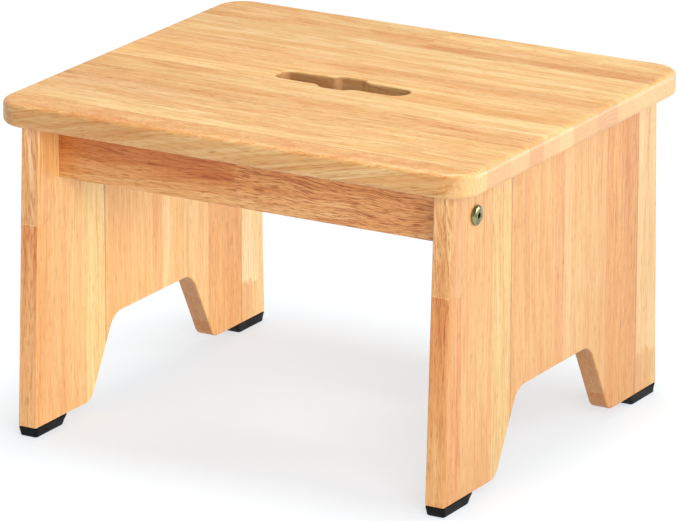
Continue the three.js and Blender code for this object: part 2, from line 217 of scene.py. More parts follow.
    # Year rings about each stave's pith, then streaks from broad to thin, pores and dark marks.
    ring_across = calc(tree, "SUBTRACT", across_grain, calc(tree, "SUBTRACT", pith[0], 0.5))
    ring_through = calc(tree, "SUBTRACT", through_grain, calc(tree, "SUBTRACT", pith[1], 0.5))
    ring_vector = add(tree, "CombineXYZ", {0: 0.0, 1: ring_across, 2: ring_through}).outputs[0]
    radius = add(tree, "VectorMath", {0: ring_vector}, operation="LENGTH").outputs["Value"]
    uneven = streaks(tree, grain, (3.0, 60.0, 60.0), 2.0, 0.0, 1.0)
    turns = calc(tree, "ADD", times(tree, radius, 1700.0), times(tree, uneven, 9.0))
    ring = calc(tree, "MULTIPLY_ADD", calc(tree, "SINE", turns), 0.5, 0.5)
    ring = calc(tree, "POWER", ring, 2.2)
    drift = streaks(tree, grain, (3.0, 22.0, 22.0), 2.0, 0.25, 0.75)
    broad = streaks(tree, grain, (3.4, 105.0, 105.0), 3.0, 0.37, 0.63)
    middling = streaks(tree, grain, (7.0, 330.0, 330.0), 3.0, 0.38, 0.62)
    thin = streaks(tree, grain, (17.0, 820.0, 820.0), 2.0, 0.36, 0.64)
    pore = streaks(tree, grain, (95.0, 2300.0, 2300.0), 0.0, 0.64, 0.74)
    patch = streaks(tree, raw, (6.0, 34.0, 34.0), 2.0, 0.38, 0.62)
    dark = streaks(tree, grain, (22.0, 430.0, 430.0), 2.0, 0.55, 0.65)
    hair = streaks(tree, grain, (1.4, 520.0, 520.0), 2.0, 0.57, 0.68)

    def shade(colour, layer, amount, light, shadow):
        """Lightens where a layer is low and darkens where it is high."""
        by = blend(tree, layer, (*light, 1), (*shadow, 1))
        return blend(tree, amount, colour, by, "MULTIPLY")

    colour = blend(tree, beyond, low_tone, high_tone)
    colour = shade(colour, drift, 0.9, (1.01, 1.03, 1.05), (0.985, 0.955, 0.91))
    colour = tint(tree, colour, times(tree, ring, 0.5), (0.95, 0.89, 0.81))
    colour = shade(colour, broad, figure, (1.03, 1.075, 1.11), (0.955, 0.875, 0.785))
    colour = shade(colour, middling, figure, (1.02, 1.06, 1.10), (0.955, 0.875, 0.78))
    colour = shade(colour, thin, fine, (1.015, 1.045, 1.08), (0.96, 0.89, 0.80))
    colour = tint(tree, colour, times(tree, hair, hairs), (0.86, 0.73, 0.60))
    colour = tint(tree, colour, times(tree, dark, patch, marked), (0.72, 0.54, 0.38))
    pore_amount = times(tree, pore, calc(tree, "MULTIPLY_ADD", marked, 0.6, pores))
    pore_amount = calc(tree, "MINIMUM", pore_amount, 1.0)
    colour = tint(tree, colour, pore_amount, (0.66, 0.50, 0.36))

    # Glue lines between staves, nine to a ramp because a ramp has no room for more, and the line
    # round a finger joint's teeth.
    reach = 0.65 * MM / width
    seams = list(zip(at[1:], lines[1:]))
    for first in range(0, len(seams), 9):
        spikes = [(0.0, (0, 0, 0))]
        for p, line in seams[first:first + 9]:
            spikes += [(p - reach, (0, 0, 0)), (p, (line,) * 3), (p + reach, (0, 0, 0))]
        glue = stepped(tree, place, spikes, "LINEAR")
        broken = streaks(tree, grain, (14.0, 30.0, 30.0), 2.0, 0.10, 0.5)
        colour = tint(tree, colour, times(tree, glue, broken), (0.60, 0.40, 0.26))
    near = calc(tree, "LESS_THAN", calc(tree, "ABSOLUTE", past_teeth), 0.22 * MM)
    colour = tint(tree, colour, times(tree, near, jointed, 0.35), (0.66, 0.48, 0.34))
    tree.links.new(colour, surface.inputs["Base Color"])

    # Satin varnish: it sinks a little into the pores and the thin streaks.
    smudge = streaks(tree, raw, (30.0, 45.0, 45.0), 2.0, 0.3, 0.7)
    rough = calc(tree, "MULTIPLY_ADD", smudge, 0.07, 0.40)
    rough = calc(tree, "MULTIPLY_ADD", pore, 0.15, rough)
    tree.links.new(rough, surface.inputs["Roughness"])
    height = calc(tree, "MULTIPLY_ADD", pore, -1.0, times(tree, thin, -0.35))
    bump = add(tree, "Bump", {"Height": height, "Strength": 0.22, "Distance": 0.00012})
    tree.links.new(bump.outputs[0], surface.inputs["Normal"])
    surface.inputs["Specular IOR Level"].default_value = 0.42
    surface.inputs["Coat Weight"].default_value = 0.12
    surface.inputs["Coat Roughness"].default_value = 0.28
    return material


def solid(name, points, faces, material, node):
    """A smooth-shaded mesh in place, riding on the stool in place of its CAD node."""
    mesh = bpy.data.meshes.new(name)
    mesh.from_pydata(np.asarray(points, float).tolist(), [], [tuple(int(i) for i in f) for f in faces])
    mesh.validate()
    mesh.polygons.foreach_set("use_smooth", [True] * len(mesh.polygons))
    mesh.materials.append(material)
    made = bpy.data.objects.new(name, mesh)
    bpy.context.scene.collection.objects.link(made)
    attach(made, "root")
    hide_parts(node)
    return made


def eased(made, width):
    """Rounds the sharp edges of a made piece."""
    edge = made.modifiers.new("eased_edges", "BEVEL")
    edge.width = width
    edge.segments = 4
    edge.limit_method = "ANGLE"
    edge.angle_limit = math.radians(35)
    edge.use_clamp_overlap = False
    edge.harden_normals = True


def arc(centre, radius, start, finish, steps):
    """Points of an arc, angles in degrees."""
    angle = np.radians(np.linspace(start, finish, steps + 1))
    return np.column_stack([centre[0] + radius * np.cos(angle), centre[1] + radius * np.sin(angle)])


panel_low, panel_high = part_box("right_side_panel")
panel_bottom = panel_low.z
panel_height = panel_high.z - panel_low.z
half_bottom = panel_high.y
half_top = half_bottom - 8 * MM
foot_corner = half_bottom - 74 * MM
arch_corner = foot_corner - 31 * MM
arch_height = 57 * MM
inside_radius = 18 * MM
outside_radius = 11 * MM

# The lower edge from the middle of the arch to the outer corner of the foot: the arch's flat top,
# a round inside corner, a straight side, a round outside corner and the foot's sole.
side_angle = math.degrees(math.atan2(arch_height, -(foot_corner - arch_corner))) - 180
turn = abs(side_angle)
inside_reach = inside_radius * math.tan(math.radians(turn) / 2)
outside_reach = outside_radius * math.tan(math.radians(turn) / 2)
flat = np.column_stack([np.linspace(0, arch_corner - inside_reach, 13)[:-1], np.full(12, arch_height)])
inside_centre = (arch_corner - inside_reach, arch_height - inside_radius)
inside = arc(inside_centre, inside_radius, 90, 90 - turn, 16)
outside = arc((foot_corner + outside_reach, outside_radius), outside_radius, 270 - turn, 270, 14)
share = np.linspace(0, 1, 10)[1:-1, None]
straight = inside[-1] + share * (outside[0] - inside[-1])
sole = np.column_stack([np.linspace(foot_corner + outside_reach, half_bottom, 12)[1:], np.zeros(11)])
right_half = np.vstack([flat, inside, straight, outside, sole])
lower_edge = np.vstack([right_half[:0:-1] * [-1, 1], right_half])


def panel_mesh(name, inner_x, outer_x, material):
    """A board between two X planes. Point (i, j): column i starts at the lower edge's point i and
    rises to the top along y = u w(z), with w(z) = half_bottom + (half_top - half_bottom) z / height."""
    columns = len(lower_edge)
    rows = 26
    y0, z0 = lower_edge.T
    u = y0 / (half_bottom + (half_top - half_bottom) * z0 / panel_height)
    rise = np.linspace(0, 1, rows) ** 0.97
    z = z0[:, None] + (panel_height - z0[:, None]) * rise
    y = u[:, None] * (half_bottom + (half_top - half_bottom) * z / panel_height)
    face = np.stack([np.zeros_like(y), y, z + panel_bottom], -1).reshape(-1, 3)
    low_x, high_x = sorted((inner_x, outer_x))
    points = np.vstack([face + [high_x, 0, 0], face + [low_x, 0, 0]])
    index = np.arange(columns * rows).reshape(columns, rows)
    a, b, c, d = index[:-1, :-1], index[1:, :-1], index[1:, 1:], index[:-1, 1:]
    front = np.stack([a, b, c, d], -1).reshape(-1, 4)
    back = front[:, ::-1] + columns * rows
    rim = np.concatenate([index[:, 0], index[-1, 1:], index[-2::-1, -1], index[0, -2:0:-1]])
    after = np.roll(rim, -1)
    far = columns * rows
    edge = np.stack([rim, rim + far, after + far, after], -1)
    faces = np.vstack([front, back, edge])
    easing = 1.4 * MM
    eased(solid(f"{name}_board", points, faces, material, name), easing)


# Millimetres from the middle of the board, front to back. The front stave and the two at the back
# are finger jointed.
front_joint = 155
back_joint = 36
panel_staves = [
    (-160, (250, 190, 130), (247, 192, 137), front_joint, 0.0, 0.010, 0.03, 0.35),
    (-137, (249, 190, 132), (250, 198, 141), None, 0.15, 0.004, 0.02, 0.15),
    (-115, (247, 188, 130), (252, 204, 147), None, 0.05, 0.004, 0.02, 0.10),
    (-93, (254, 213, 154), (254, 220, 163), None, 0.9, -0.006, 0.02, 0.30),
    (-65, (249, 192, 131), (250, 197, 138), None, 0.9, 0.008, 0.03, 0.15),
    (-38, (248, 189, 130), (251, 199, 141), None, 0.15, 0.006, 0.03, 0.15),
    (-22, (249, 195, 135), (251, 199, 140), None, 0.15, 0.006, 0.03, 0.10),
    (0, (247, 186, 128), (249, 191, 134), None, 0.10, 0.006, 0.03, 0.30),
    (12, (250, 196, 137), (254, 213, 162), None, 0.30, 0.002, 0.02, 0.10),
    (23, (249, 193, 133), (251, 204, 148), None, 0.30, 0.002, 0.02, 0.15),
    (50, (248, 193, 132), (250, 202, 147), None, 0.15, 0.002, 0.02, 0.12),
    (77, (243, 179, 113), (246, 186, 123), None, 0.40, -0.006, 0.03, 0.35),
    (100, (243, 180, 113), (241, 178, 117), None, 0.10, -0.006, 0.03, 0.55),
    (125, (243, 187, 131), (255, 221, 177), back_joint, 0.60, 0.002, 0.02, 0.12),
    (140, (249, 205, 150), (254, 220, 174), back_joint, 0.10, 0.002, 0.02, 0.10),
]


def facing(tree, axis, low, high):
    """How far a point's surface faces along an axis, from 0 at low to 1 at high."""
    normal = add(tree, "SeparateXYZ", {0: add(tree, "NewGeometry").outputs["Normal"]}).outputs
    return slide(tree, calc(tree, "ABSOLUTE", normal["xyz".index(axis)]), low, high)


def edge_skin(material, inner, outer, tone):
    """The panel's sawn edges cross the grain's side: browner, with slanting bands, short dark
    dashes, and on the front edge a pale strip along the outside and a finger joint's pale line.
    Above the joint the bands slant more and are milky; towards the foot they die away."""
    tree, base, colour = coloured(material)
    place = add(tree, "TexCoord").outputs["Object"]
    x, y, z = add(tree, "SeparateXYZ", {0: place}).outputs
    joint_height = front_joint * MM
    edge = calc(tree, "SUBTRACT", 1.0, facing(tree, "x", 0.25, 0.8))
    upper = calc(tree, "GREATER_THAN", z, joint_height)
    lower = calc(tree, "SUBTRACT", 1.0, upper)
    strength = slide(tree, z, 0.02, 0.14, 0.2, 1.0)
    slant = calc(tree, "MULTIPLY_ADD", upper, 0.085, 0.02)
    leaning = calc(tree, "MULTIPLY_ADD", z, slant, x)
    elsewhere = calc(tree, "MULTIPLY_ADD", upper, 0.4, y)
    drawn = add(tree, "CombineXYZ", {0: leaning, 1: elsewhere, 2: z}).outputs[0]
    band = streaks(tree, drawn, (270.0, 60.0, 10.0), 3.0, 0.36, 0.60)
    dash = streaks(tree, drawn, (1100.0, 200.0, 85.0), 1.0, 0.52, 0.66)
    milky = streaks(tree, drawn, (140.0, 60.0, 5.0), 2.0, 0.46, 0.60)

    colour = tint(tree, colour, edge, tone)
    colour = tint(tree, colour, times(tree, milky, upper, edge), (1.06, 1.16, 1.32))
    colour = tint(tree, colour, times(tree, edge, strength, lower), (0.94, 0.84, 0.78))
    colour = tint(tree, colour, times(tree, edge, band, strength), (0.88, 0.74, 0.62))
    colour = tint(tree, colour, times(tree, edge, dash, strength), (0.77, 0.61, 0.49))

    # The pale strip along the outside, which widens upwards and stops short of the foot.
    out = calc(tree, "DIVIDE", calc(tree, "SUBTRACT", x, inner), outer - inner)
    strip = slide(tree, calc(tree, "MULTIPLY_ADD", z, 1.2, out), 0.93, 0.99)
    strip = times(tree, strip, slide(tree, z, 0.06, 0.11))
    colour = tint(tree, colour, times(tree, edge, strip, 0.7), (1.10, 1.20, 1.26))

    # The finger joint's line, 0.8 mm high, in the front edge.
    off = calc(tree, "ABSOLUTE", calc(tree, "SUBTRACT", z, joint_height + 0.2 * MM))
    joint = calc(tree, "LESS_THAN", off, 0.4 * MM)
    front = calc(tree, "LESS_THAN", y, -0.1)
    colour = tint(tree, colour, times(tree, edge, joint, front), (1.12, 1.30, 1.55))

    # The arch's own edge is darker, partly its end grain and partly painted shade under the arch, and so
    # is the narrow line under the seat, a painted contact shadow.
    low_down = calc(tree, "LESS_THAN", z, 0.075)
    middle = calc(tree, "LESS_THAN", calc(tree, "ABSOLUTE", y), 0.11)
    colour = tint(tree, colour, times(tree, edge, low_down, middle), (0.66, 0.58, 0.56))
    # Painted contact shadow along the panel's top, where the seat rests on it.
    seam_shadow = slide(tree, z, panel_high.z - 1.2 * MM, panel_high.z - 0.4 * MM)
    colour = tint(tree, colour, seam_shadow, (0.50, 0.36, 0.28))
    tree.links.new(colour, base)


for side, sign in (("left", -1), ("right", 1)):
    low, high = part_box(f"{side}_side_panel")
    inner, outer = (high.x, low.x) if sign < 0 else (low.x, high.x)
    # The left panel gets lighter tones than the right: painted light on its inner face, which the seat
    # and the right panel shade. The edge tones set per side below bring both panels' edges closer
    # together again.
    gain = (0.95, 0.965, 0.83) if sign < 0 else (0.685, 0.63, 0.50)
    panel_wood = wood(
        f"{side}_panel_wood",
        "zyx",
        panel_staves,
        160,
        lean=0.008,
        gain=gain,
        figure=0.62,
        fine=0.9,
        hairs=0.65,
        seed=11,
    )
    edge_skin(panel_wood, inner, outer, (0.88, 0.89, 1.00) if sign < 0 else (1.08, 1.19, 1.34))
    panel_mesh(f"{side}_side_panel", inner, outer, panel_wood)

# ------------------------------ rubber feet
# Four black rubber blocks, one under each outer corner of the side panels. Each is screwed up into
# the panel from a recess in its sole.


def closed_rows(name, rows, material, node, ring=False):
    """A surface through closed curves, each with the same number of points in the same order.
    A ring joins the last curve to the first; otherwise each end closes on its curve's middle."""
    rows = np.asarray(rows, float)
    count, around, _ = rows.shape
    points = rows.reshape(-1, 3)
    index = np.arange(count * around).reshape(count, around)
    nxt = np.roll(index, -1, axis=1)
    if ring:
        up, up_nxt = np.roll(index, -1, axis=0), np.roll(nxt, -1, axis=0)
        faces = np.stack([index, nxt, up_nxt, up], -1).reshape(-1, 4).tolist()
    else:
        faces = np.stack([index[:-1], nxt[:-1], nxt[1:], index[1:]], -1).reshape(-1, 4).tolist()
        points = np.vstack([points, rows[0].mean(0), rows[-1].mean(0)])
        first, last = count * around, count * around + 1
        faces += [(first, int(b), int(a)) for a, b in zip(index[0], nxt[0])]
        faces += [(last, int(a), int(b)) for a, b in zip(index[-1], nxt[-1])]
    return solid(name, points, faces, material, node)


def rounded_rectangle(angles, half_x, half_y, radius):
    """Distance from the middle to a rounded rectangle's edge in each direction: half_x / cos or
    half_y / sin on its sides, and the far root of |t d - c| = radius in its corners."""
    across, up = np.abs(np.cos(angles)), np.abs(np.sin(angles))
    centre_x, centre_y = half_x - radius, half_y - radius
    side = half_x / np.maximum(across, 1e-9)
    top = half_y / np.maximum(up, 1e-9)
    along = across * centre_x + up * centre_y
    corner = along + np.sqrt(np.maximum(along**2 - centre_x**2 - centre_y**2 + radius**2, 0))
    return np.where(side * up <= centre_y, side, np.where(top * across <= centre_x, top, corner))


def rubber():
    """Matt black moulded rubber, dusty and a little scuffed towards the floor."""
    material, tree, surface = blank("foot_rubber")
    place = add(tree, "TexCoord").outputs["Object"]
    speck = streaks(tree, place, (900.0, 900.0, 900.0), 3.0, 0.35, 0.75)
    cloud = streaks(tree, place, (90.0, 90.0, 140.0), 2.0, 0.35, 0.7)
    low = slide(tree, add(tree, "SeparateXYZ", {0: place}).outputs[2], 3.5 * MM, 0.0)
    worn = times(tree, low, calc(tree, "MULTIPLY_ADD", cloud, 0.6, 0.4))
    colour = blend(tree, worn, (0.0030, 0.0031, 0.0034, 1), (0.012, 0.0118, 0.0115, 1))
    colour = tint(tree, colour, times(tree, speck, 0.5), (0.6, 0.6, 0.62))
    tree.links.new(colour, surface.inputs["Base Color"])
    rough = calc(tree, "MULTIPLY_ADD", cloud, 0.16, 0.5)
    tree.links.new(rough, surface.inputs["Roughness"])
    bump = add(tree, "Bump", {"Height": speck, "Strength": 0.25, "Distance": 0.0001})
    tree.links.new(bump.outputs[0], surface.inputs["Normal"])
    surface.inputs["Specular IOR Level"].default_value = 0.15
    return material


def rounded(degrees):
    """The two offsets of a point on a quarter round of radius 1: 1 - sin, and 1 - cos."""
    return 1 - math.sin(math.radians(degrees)), 1 - math.cos(math.radians(degrees))


foot_rubber = rubber()
foot_angles = np.linspace(0, 2 * np.pi, 96, endpoint=False)
foot_direction = np.column_stack([np.cos(foot_angles), np.sin(foot_angles)])


def foot_circle(radius, z):
    """A level circle round the screw's axis."""
    return np.column_stack([foot_direction * radius, np.full(len(foot_angles), z)])


def foot_rows(half_x, half_y, tall, outward):
    """Curves from the screw's hole out over the top face, down the outer wall, in under the sole,
    up the recess and in to the hole again. outward is +1 where the foot's outer end is at +Y."""
    hole, recess, recess_depth = 2.05 * MM, 4.5 * MM, 3.2 * MM
    top_round, sole_round, recess_round = 0.4 * MM, 0.9 * MM, 0.4 * MM
    rows = []

    def outline(z, inset):
        """The sides go in towards the floor, and the end under the arch goes in the most."""
        drop = 1 - z / tall
        short, long, thin = 1.8 * MM * drop, 6.0 * MM * drop, 0.7 * MM * drop
        deep = half_y - (short + long) / 2 - inset
        radii = rounded_rectangle(foot_angles, half_x - thin - inset, deep, 1.2 * MM)
        ring = np.column_stack([foot_direction * radii[:, None], np.full(len(foot_angles), z)])
        return ring + [0, outward * (long - short) / 2, 0]

    top_ring = outline(tall, 0.5 * MM)
    for t in (0.0, 0.05, 0.3, 0.6, 0.93, 1.0):
        rows.append(foot_circle(hole, tall) * (1 - t) + top_ring * t)
    for bend in (30, 60, 90):
        inset, drop = rounded(bend)
        rows.append(outline(tall - top_round * drop, top_round * inset))
    rows += [outline(z, 0.0) for z in (tall - 0.8 * MM, tall * 0.5, 1.3 * MM)]
    for bend in (0, 22, 45, 67, 90):
        rise, inset = rounded(bend)
        rows.append(outline(sole_round * rise, sole_round * inset))
    sole_ring = outline(0.0, 1.3 * MM)
    for t in (1.0, 0.7, 0.35, 0.06):
        rows.append(foot_circle(recess + recess_round, 0.0) * (1 - t) + sole_ring * t)
    for bend in (90, 45, 0):
        rise, outset = rounded(bend)
        rows.append(foot_circle(recess + recess_round * outset, recess_round * rise))
    for z in (0.9 * MM, recess_depth - 0.2 * MM, recess_depth):
        rows.append(foot_circle(recess, z))
    rows += [foot_circle(recess - 0.3 * MM, recess_depth), foot_circle(hole, recess_depth)]
    return np.array(rows)


for end, outward in (("front", -1), ("back", 1)):
    for side in ("left", "right"):
        node = f"{end}_{side}_foot"
        low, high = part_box(node)
        middle = (low + high) / 2
        rows = foot_rows((high.x - low.x) / 2, (high.y - low.y) / 2, high.z, outward)
        rows = rows[::-1] + [middle.x, middle.y, 0]
        closed_rows(f"{end}_{side}_rubber", rows, foot_rubber, node, ring=True)

# ------------------------------ foot screws
# Short pan-headed steel screws, one to each rubber foot. Each goes up through the foot into the
# side panel's lower edge, and its head sits in the foot's recess.


def metal(name, colour, patch, rough, speckle):
    """Plated steel: its colour drifts in cloudy patches, and fine scratches break the shine."""
    material, tree, surface = blank(name)
    place = add(tree, "TexCoord").outputs["Object"]
    cloud = streaks(tree, place, (260.0, 260.0, 260.0), 3.0, 0.35, 0.65)
    grit = streaks(tree, place, (2600.0, 2600.0, 2600.0), 2.0, 0.3, 0.8)
    tone = blend(tree, cloud, (*colour, 1), (*patch, 1))
    tone = tint(tree, tone, times(tree, grit, speckle), (0.7, 0.7, 0.7))
    tree.links.new(tone, surface.inputs["Base Color"])
    tree.links.new(calc(tree, "MULTIPLY_ADD", grit, 0.16, rough), surface.inputs["Roughness"])
    bump = add(tree, "Bump", {"Height": grit, "Strength": 0.12, "Distance": 0.00005})
    tree.links.new(bump.outputs[0], surface.inputs["Normal"])
    surface.inputs["Metallic"].default_value = 1.0
    return material


def refinish(node, material):
    """Gives a CAD node its material."""
    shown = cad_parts[node]
    for place in shown.material_slots:
        place.material = material
    if not shown.material_slots:
        shown.data.materials.append(material)


screw_steel = metal("screw_steel", (0.46, 0.46, 0.47), (0.36, 0.36, 0.38), 0.3, 0.3)
for end in ("front", "back"):
    for side in ("left", "right"):
        refinish(f"{end}_{side}_foot_screw", screw_steel)

# ------------------------------ rails
# Two boards of the same wood, set in from the front and back, that tie the side panels together.
# Each is finger jointed near its middle. The front one is bolted and the back one glued.

rail_joint = -13
rail_wood = wood(
    "rail_wood",
    "xzy",
    [(184, (240, 184, 125), (240, 186, 132), rail_joint, 0.0, -0.050, 0.04, 0.70)],
    228,
    gain=(0.78, 0.75, 0.66),
    fine=0.9,
    pores=1.0,
    seed=5,
)


def rail_tone_and_painted_shade(material):
    """The rail's upper part is darker and redder, more so in the left piece of the finger joint:
    painted shade under the seat's overhang, with the left piece's redder wood. The right piece is
    dense with short dark wavy streaks."""
    tree, base, colour = coloured(material)
    place = add(tree, "TexCoord").outputs["Object"]
    x, y, z = add(tree, "SeparateXYZ", {0: place}).outputs
    wave = streaks(tree, place, (9.0, 30.0, 60.0), 2.0, 0.2, 0.8)
    level = calc(tree, "MULTIPLY_ADD", wave, 0.010, z)
    upper = slide(tree, level, 0.192, 0.218, interpolation_type="SMOOTHSTEP")
    left = slide(tree, x, (rail_joint + 4) * MM, (rail_joint - 4) * MM)
    right = calc(tree, "SUBTRACT", 1.0, left)
    # Painted shade under the seat's overhang: the upper part darker and redder, most in the left piece.
    colour = tint(tree, colour, upper, (1.02, 0.91, 0.77))
    colour = tint(tree, colour, times(tree, upper, left), (0.80, 0.56, 0.38))
    curl = streaks(tree, place, (26.0, 30.0, 45.0), 1.0, 0.1, 0.9)
    bent = calc(tree, "MULTIPLY_ADD", x, 0.05, z)
    bent = calc(tree, "MULTIPLY_ADD", curl, 0.006, bent)
    drawn = add(tree, "CombineXYZ", {0: x, 1: y, 2: bent}).outputs[0]
    short = streaks(tree, drawn, (80.0, 500.0, 1000.0), 2.0, 0.52, 0.61)
    long = streaks(tree, drawn, (20.0, 200.0, 640.0), 3.0, 0.52, 0.64)
    short = times(tree, short, calc(tree, "MULTIPLY_ADD", right, 0.65, 0.30))
    long = times(tree, long, calc(tree, "MULTIPLY_ADD", upper, 0.6, 0.4))
    colour = tint(tree, colour, short, (0.64, 0.47, 0.36))
    colour = tint(tree, colour, long, (0.72, 0.56, 0.44))
    tree.links.new(colour, base)


rail_tone_and_painted_shade(rail_wood)
for node in ("front_rail", "back_rail"):
    refinish(node, rail_wood)

# ------------------------------ rail dowels and seat dowels
# Beech dowels with chamfered ends, out of sight once the stool is built. Each is glued 10 mm into
# one board's face and 20 mm into the other board's end or edge.

dowel_wood = wood(
    "dowel_wood",
    "zxy",
    [
        (-200, (226, 190, 145), (226, 190, 145), None, 0.0, 0.0, 0.0, 0.1),
        (0, (222, 186, 140), (222, 186, 140), None, 0.0, 0.0, 0.0, 0.1),
    ],
    200,
    gain=0.7,
    seed=8,
)
for node in sorted(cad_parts):
    if node.endswith("dowel"):
        refinish(node, dowel_wood)

# ------------------------------ connector bolts and barrel nuts
# A zinc-plated bolt with a low domed head and a hex socket goes through each side panel into a
# cross nut in the front rail.

head_height = 2.6
yellow_zinc = metal("yellow_zinc", (0.34, 0.31, 0.14), (0.15, 0.17, 0.09), 0.14, 0.4)
bolt_angles = np.linspace(0, 2 * np.pi, 72, endpoint=False)
hexagon = 1 / np.cos((bolt_angles + np.pi / 6) % (np.pi / 3) - np.pi / 6)


def bolt_rows():
    """Curves from the socket's floor out over the head, down the shank and along the thread to the
    tip, in millimetres from the panel's face. The head's dome is a quarter ellipse from radius 3.5
    to 7.1; the thread's radius is 2.75 + 0.25 sin(2 pi x / pitch + turn), a helix of 1 mm pitch."""
    half_flats, dome_bottom = 2.0, 0.9
    dome_start, dome_reach = 3.5, 3.6
    thread_middle, thread_depth, thread_start, thread_end = 2.75, 0.25, -24.4, -49.0
    socket = [(0.5, -0.4), (0.93, -0.4), (1.0, -0.32), (1.0, 2.2), (1.0, 2.42), (1.06, 2.56)]
    rim = [(7.1, 0.45), (7.04, 0.2), (6.9, 0.05), (6.6, 0.0), (5.0, 0.0), (3.3, 0.0)]
    shank = [(3.0, -0.2), (3.0, -23.5), (2.75, -24.2)]
    tip = [(2.7, -49.2), (2.4, -49.8), (2.1, -50.0), (1.0, -50.0)]
    rows = []

    def ring(radii, out):
        y, z = np.cos(bolt_angles) * radii, np.sin(bolt_angles) * radii
        rows.append(np.column_stack([np.full(len(bolt_angles), out), y, z]))

    for share, out in socket + [(1.14, head_height)]:
        ring(half_flats * share * hexagon, out)
    for radius in (2.95, 3.4):
        ring(radius, head_height)
    for bend in np.radians(np.linspace(0, 90, 14)):
        out = dome_bottom + (head_height - dome_bottom) * math.cos(bend)
        ring(dome_start + dome_reach * math.sin(bend), out)
    for radius, out in rim + shank:
        ring(radius, out)
    for out in np.arange(thread_start, thread_end, -0.125):
        grow = min(1.0, (thread_start - out) / 1.2, (out - thread_end + 0.1) / 0.8)
        ring(thread_middle + thread_depth * grow * np.sin(2 * np.pi * out + bolt_angles), out)
    for radius, out in tip:
        ring(radius, out)
    return np.array(rows) * MM


for side, sign in (("left", -1), ("right", 1)):
    node = f"{side}_connector_bolt"
    low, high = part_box(node)
    head_face = low.x if sign < 0 else high.x
    rows = bolt_rows()[::sign] * [sign, 1, 1]
    rows += [head_face - sign * head_height * MM, (low.y + high.y) / 2, (low.z + high.z) / 2]
    closed_rows(f"{side}_bolt", rows, yellow_zinc, node)
    refinish(f"{side}_barrel_nut", yellow_zinc)

# ------------------------------ seat
# An 18 mm board glued up from staves with the grain along its length. Its corners and edges are
# rounded, and a hand slot with a rounded lip is routed through its middle. It rests on the side
# panels, over dowels, and is screwed down from below.

seat_low, seat_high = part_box("seat_top")
half_length = seat_high.x
half_depth = seat_high.y
seat_thick = seat_high.z - seat_low.z
seat_corner = 22 * MM
slot_half_length = 53 * MM
slot_half_width = 10.5 * MM
slot_half_middle = 16.5 * MM


def slot_outline():
    """The slot's right upper quarter from the end to the middle: a round end, a straight side, an
    S-shaped shoulder (a cubic curve) and the flat of the wider middle."""
    half, swollen = slot_half_width, slot_half_middle
    flat_half, shoulder = 5 * MM, 13 * MM
    end_centre = slot_half_length - half
    round_end = arc((end_centre, 0), half, 0, 90, 24)
    begin = flat_half + shoulder
    bend = (begin + flat_half) / 2
    t = np.linspace(0, 1, 22)[:, None]
    anchors = [np.array(p) for p in ((begin, half), (bend, half), (bend, swollen), (flat_half, swollen))]
    weights = ((1 - t) ** 3, 3 * (1 - t) ** 2 * t, 3 * (1 - t) * t**2, t**3)
    curve = sum(w * p for w, p in zip(weights, anchors))
    side = np.column_stack([np.linspace(end_centre, begin, 24)[1:-1], np.full(22, half)])
    middle = np.column_stack([np.linspace(flat_half, 0, 5)[1:], np.full(4, swollen)])
    return np.vstack([round_end, side, curve, middle])


def slot_distance(angles, outset):
    """Distance from the middle to the slot's edge, moved outwards along its normals."""
    quarter = slot_outline()
    along = np.gradient(quarter, axis=0)
    normal = np.column_stack([along[:, 1], -along[:, 0]])
    normal /= np.linalg.norm(normal, axis=1)[:, None]
    normal[0], normal[-1] = (1, 0), (0, 1)
    moved = quarter + normal * outset
    step = np.arange(len(moved))
    between = np.linspace(0, step[-1], 7 * step[-1] + 1)
    dense = np.column_stack([np.interp(between, step, column) for column in moved.T])
    folded = np.arctan2(np.abs(np.sin(angles)), np.abs(np.cos(angles)))
    bearing = np.maximum.accumulate(np.arctan2(dense[:, 1], dense[:, 0]))
    return np.interp(folded, bearing, np.hypot(dense[:, 0], dense[:, 1]))


# The directions from the middle in which the board has points: closer together where the slot and
# the corners bend, and the same in each quarter.
quarter_slot = slot_outline()
slot_turns = np.arctan2(quarter_slot[:, 1], quarter_slot[:, 0])
corner = arc((half_length - seat_corner, half_depth - seat_corner), seat_corner, 0, 90, 18)
corner_turns = np.arctan2(corner[:, 1], corner[:, 0])
even_turns = np.linspace(0, np.pi / 2, 60)
quarter_turns = np.unique(np.round(np.concatenate([slot_turns, corner_turns, even_turns]), 4))
quarter_turns = quarter_turns[np.concatenate([[True], np.diff(quarter_turns) > 0.002])]
quarter_turns[0], quarter_turns[-1] = 0.0, np.pi / 2
seat_angles = np.concatenate([
    quarter_turns[:-1],
    (np.pi - quarter_turns[::-1])[:-1],
    (np.pi + quarter_turns)[:-1],
    (2 * np.pi - quarter_turns[::-1])[:-1],
])
seat_direction = np.column_stack([np.cos(seat_angles), np.sin(seat_angles)])


def seat_edge(inset, z):
    """The seat's outline at a height, moved inwards."""
    radii = rounded_rectangle(seat_angles, half_length - inset, half_depth - inset, seat_corner - inset)
    return np.column_stack([seat_direction * radii[:, None], np.full(len(seat_angles), z)])


def slot_edge(outset, z):
    """The slot's outline at a height, moved outwards."""
    radii = slot_distance(seat_angles, outset)
    return np.column_stack([seat_direction * radii[:, None], np.full(len(seat_angles), z)])


